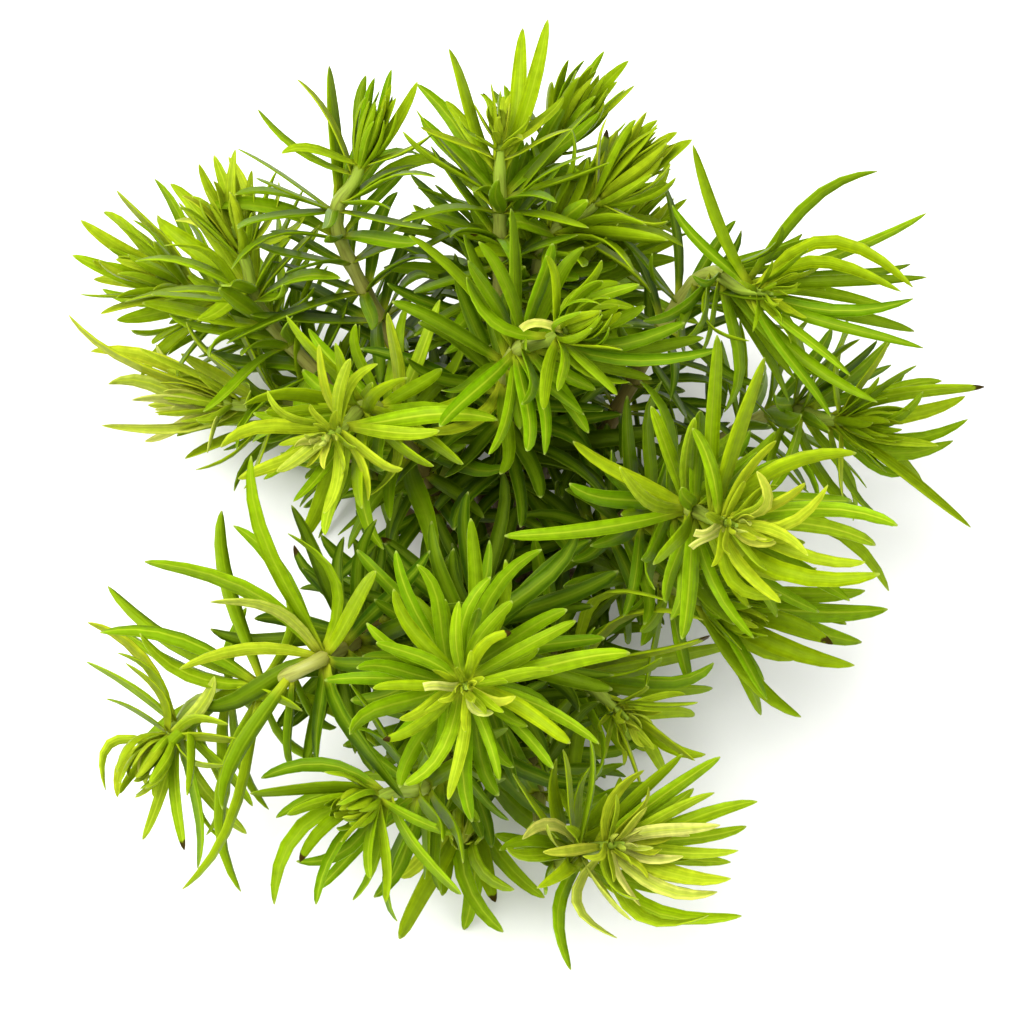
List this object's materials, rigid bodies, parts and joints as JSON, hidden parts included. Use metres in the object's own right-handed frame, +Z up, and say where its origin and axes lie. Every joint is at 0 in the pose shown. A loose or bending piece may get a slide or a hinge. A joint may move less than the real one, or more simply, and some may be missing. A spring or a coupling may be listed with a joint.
{
  "type": "aquarium plant clump",
  "caption": "Bushy clump of pogostemon, a water plant: leaning stems with whorls of narrow green leaves and leafy rosettes at their tips, on one base cut off flat.",
  "frame": {"origin": "middle of the flat cut at the foot of the clump, on the surface that it stands on", "axes": "+Z up, away from the cut; +Y from the front of the clump to its back; +X to the right as seen from the front"},
  "size_m": [0.1407, 0.1397, 0.085],
  "materials": {
    "young_leaves": "satin, lime green young leaves with paler tips",
    "grown_leaves": "satin, mid green grown leaves on pale green to tan stems",
    "basal_stem": "matte, tan brown old stem"
  },
  "bodies": {
    "root": {"rosette_back_centre": "young_leaves", "rosette_back_left": "young_leaves", "rosette_back_right": "young_leaves", "rosette_back_right_low": "young_leaves", "rosette_back_tall": "young_leaves", "rosette_centre_back": "young_leaves", "rosette_front_centre": "young_leaves", "rosette_front_left": "young_leaves", "rosette_front_low": "young_leaves", "rosette_front_right": "young_leaves", "rosette_front_right_low": "young_leaves", "rosette_left_back": "young_leaves", "rosette_left_far": "young_leaves", "rosette_left_front": "young_leaves", "rosette_left_inner": "young_leaves", "rosette_left_low": "young_leaves", "rosette_right_back": "young_leaves", "rosette_right_front_low": "young_leaves", "rosette_right_inner": "young_leaves", "rosette_right_low": "young_leaves", "stem_back_centre": "grown_leaves", "stem_back_left": "grown_leaves", "stem_back_right": "grown_leaves", "stem_back_right_low": "grown_leaves", "stem_back_tall": "grown_leaves", "stem_base": "basal_stem", "stem_centre_back": "grown_leaves", "stem_front_centre": "grown_leaves", "stem_front_left": "grown_leaves", "stem_front_low": "grown_leaves", "stem_front_right": "grown_leaves", "stem_front_right_low": "grown_leaves", "stem_left_back": "grown_leaves", "stem_left_far": "grown_leaves", "stem_left_front": "grown_leaves", "stem_left_inner": "grown_leaves", "stem_left_low": "grown_leaves", "stem_right_back": "grown_leaves", "stem_right_front_low": "grown_leaves", "stem_right_inner": "grown_leaves", "stem_right_low": "grown_leaves"}
  },
  "joints": []
}
